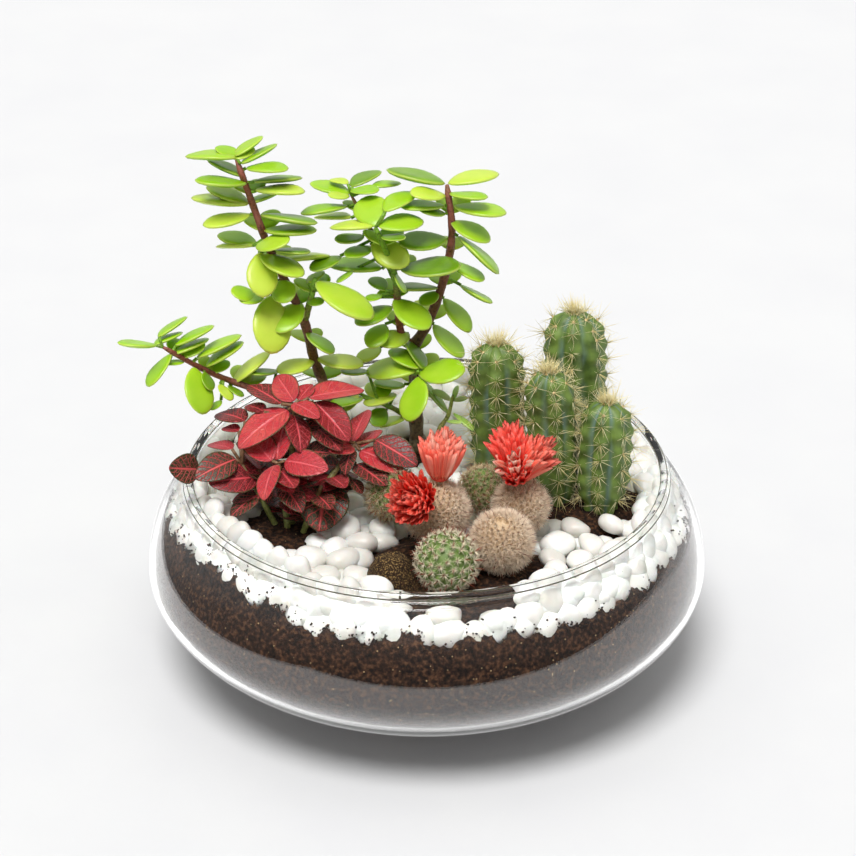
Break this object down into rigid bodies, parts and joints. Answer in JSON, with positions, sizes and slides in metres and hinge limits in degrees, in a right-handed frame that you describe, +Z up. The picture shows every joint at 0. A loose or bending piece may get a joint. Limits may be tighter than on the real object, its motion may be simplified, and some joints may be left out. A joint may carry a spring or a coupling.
{
  "type": "glass plant terrarium",
  "caption": "Low round glass bowl of potting mix and white pebbles, planted with leafy succulents, a red-veined nerve plant, column and pincushion cacti with dried flowers.",
  "frame": {"origin": "centre of the flat base of the bowl, on the surface that it stands on", "axes": "+Z up out of the bowl, +X to the right and +Y away from the viewer of the picture"},
  "size_m": [0.223, 0.22, 0.2116],
  "materials": {
    "clear_glass": "clear blown glass, polished",
    "potting_mix": "dark crumbly peat and coir, matte",
    "white_pebbles": "tumbled white stone, satin",
    "bush_leaf": "fleshy leaf, waxy satin, on brown stems",
    "sprig_leaf": "young leaf, satin",
    "nerve_leaf": "pink to dark leaf with a net of veins, satin",
    "column_cactus": "ribbed green skin with a grey bloom, matte",
    "pincushion_green": "green skin under cream spines, matte",
    "pincushion_tan": "skin under dense tan spines, matte",
    "dried_petals_red": "dyed dried petals, papery",
    "dried_petals_coral": "dyed dried petals, papery"
  },
  "bodies": {
    "root": {"glass_bowl": "clear_glass", "soil": "potting_mix", "pebbles": "white_pebbles", "elephant_bush_left": "bush_leaf", "elephant_bush_right": "bush_leaf", "sprig": "sprig_leaf", "nerve_plant": "nerve_leaf", "pincushion_front": "pincushion_green", "pincushion_left": "pincushion_green", "pincushion_back": "pincushion_green", "pincushion_front_right": "pincushion_tan", "pincushion_centre": "pincushion_tan", "pincushion_right": "pincushion_tan", "strawflower_left": "dried_petals_red", "strawflower_centre": "dried_petals_coral", "strawflower_right": "dried_petals_red", "column_cactus_left": "column_cactus", "column_cactus_back": "column_cactus", "column_cactus_middle": "column_cactus", "column_cactus_right": "column_cactus"}
  },
  "joints": []
}
